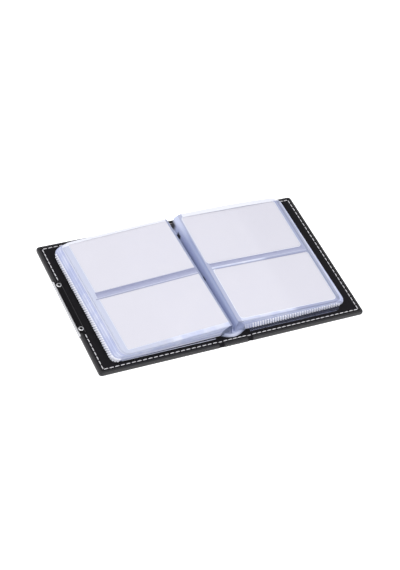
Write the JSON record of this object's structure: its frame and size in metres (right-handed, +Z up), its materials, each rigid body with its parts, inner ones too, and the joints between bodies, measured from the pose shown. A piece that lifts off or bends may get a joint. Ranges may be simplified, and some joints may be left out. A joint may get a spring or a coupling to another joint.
{
  "type": "business card album",
  "caption": "Open pocket album: stitched leatherette cover in three panels, edge plate, clear two-pocket leaves with blank cards.",
  "frame": {"origin": "centre of the bounding box's base: under the middle of the spine panel, on the table that the open album lies on", "axes": "+X across the spread towards the back cover's outer edge (the front cover, with its plate, is at -X), +Y from the foot of the page to its head, +Z up"},
  "size_m": [0.2424, 0.1406, 0.0151],
  "materials": {
    "leatherette": "fine grained black leatherette, soft sheen",
    "lining": "matt black lining with a faint texture",
    "board": "plain grey board",
    "plate": "polished",
    "clear_film": "clear soft film with a blue tint",
    "gutter_film": "many layers of clear film, blue in depth",
    "card": "smooth white card"
  },
  "bodies": {
    "spine": {"spine_skin": "leatherette", "spine_board": "board", "spine_lining": "lining", "front_crease": "lining", "back_crease": "lining", "page_root": "gutter_film", "left_gutter_films": "gutter_film", "right_gutter_films": "gutter_film"},
    "front_cover": {"front_cover_skin": "leatherette", "front_cover_board": "board", "front_cover_lining": "lining", "edge_plate": "plate", "edge_plate_backing": "leatherette", "upper_rivet": "plate", "lower_rivet": "plate", "front_end_sheet": "clear_film"},
    "back_cover": {"back_cover_skin": "leatherette", "back_cover_board": "board", "back_cover_lining": "lining", "back_end_sheet": "clear_film"},
    "left_pages": {"left_leaf_01": "clear_film", "left_leaf_02": "clear_film", "left_leaf_03": "clear_film", "left_leaf_04": "clear_film", "left_leaf_05": "clear_film", "left_leaf_06": "clear_film", "left_leaf_07": "clear_film", "left_leaf_08": "clear_film", "left_leaf_09": "clear_film", "left_leaf_10": "clear_film", "left_leaf_11": "clear_film", "left_leaf_12": "clear_film", "left_turning_film": "gutter_film"},
    "left_turning_leaf": {"left_leaf_13": "clear_film"},
    "left_upper_card": {"left_upper_card": "card"},
    "left_lower_card": {"left_lower_card": "card"},
    "right_pages": {"right_leaf_01": "clear_film", "right_leaf_02": "clear_film", "right_leaf_03": "clear_film", "right_leaf_04": "clear_film", "right_leaf_05": "clear_film", "right_leaf_06": "clear_film", "right_leaf_07": "clear_film", "right_leaf_08": "clear_film", "right_leaf_09": "clear_film", "right_leaf_10": "clear_film", "right_turning_film": "gutter_film"},
    "right_turning_leaf": {"right_leaf_11": "clear_film"},
    "right_upper_card": {"right_upper_card": "card"},
    "right_lower_card": {"right_lower_card": "card"}
  },
  "joints": [
    {"name": "front_cover_hinge", "type": "hinge", "parent": "spine", "child": "front_cover", "pos_m": [-0.0132, 0, 0.0018], "axis": [0, 1, 0], "range_deg": [0, 90], "deforming": ["front_crease"]},
    {"name": "back_cover_hinge", "type": "hinge", "parent": "spine", "child": "back_cover", "pos_m": [0.0132, 0, 0.0018], "axis": [0, -1, 0], "range_deg": [0, 90], "deforming": ["back_crease"]},
    {"name": "left_pages_turn", "type": "hinge", "parent": "spine", "child": "left_pages", "pos_m": [-0.0053, 0, 0.0091], "axis": [0, 1, 0], "range_deg": [0, 90], "deforming": ["left_gutter_films"]},
    {"name": "right_pages_turn", "type": "hinge", "parent": "spine", "child": "right_pages", "pos_m": [0.00577, 0, 0.00877], "axis": [0, -1, 0], "range_deg": [0, 90], "deforming": ["right_gutter_films"]},
    {"name": "left_leaf_turn", "type": "hinge", "parent": "left_pages", "child": "left_turning_leaf", "pos_m": [0.00025, 0, 0.01455], "axis": [0, -1, 0], "range_deg": [-182, 0], "deforming": ["left_turning_film"]},
    {"name": "right_leaf_turn", "type": "hinge", "parent": "right_pages", "child": "right_turning_leaf", "pos_m": [0.00025, 0, 0.01455], "axis": [0, 1, 0], "range_deg": [-182, 0], "deforming": ["right_turning_film"]},
    {"name": "left_upper_card_slide", "type": "slide", "parent": "left_turning_leaf", "child": "left_upper_card", "axis": [-0.0314, 0.9995, -0.0007], "range_m": [-0.0016, 0.0564]},
    {"name": "left_lower_card_slide", "type": "slide", "parent": "left_turning_leaf", "child": "left_lower_card", "axis": [-0.0314, 0.9995, -0.0007], "range_m": [-0.0016, 0.0048]},
    {"name": "right_upper_card_slide", "type": "slide", "parent": "right_turning_leaf", "child": "right_upper_card", "axis": [0.0087, 1, -0.0002], "range_m": [-0.0002, 0.0578]},
    {"name": "right_lower_card_slide", "type": "slide", "parent": "right_turning_leaf", "child": "right_lower_card", "axis": [0.0087, 1, -0.0002], "range_m": [-0.0002, 0.0062]}
  ],
  "couplings": [
    {"joint": "left_pages_turn", "follows": "front_cover_hinge", "ratio": 1},
    {"joint": "right_pages_turn", "follows": "back_cover_hinge", "ratio": 1}
  ]
}
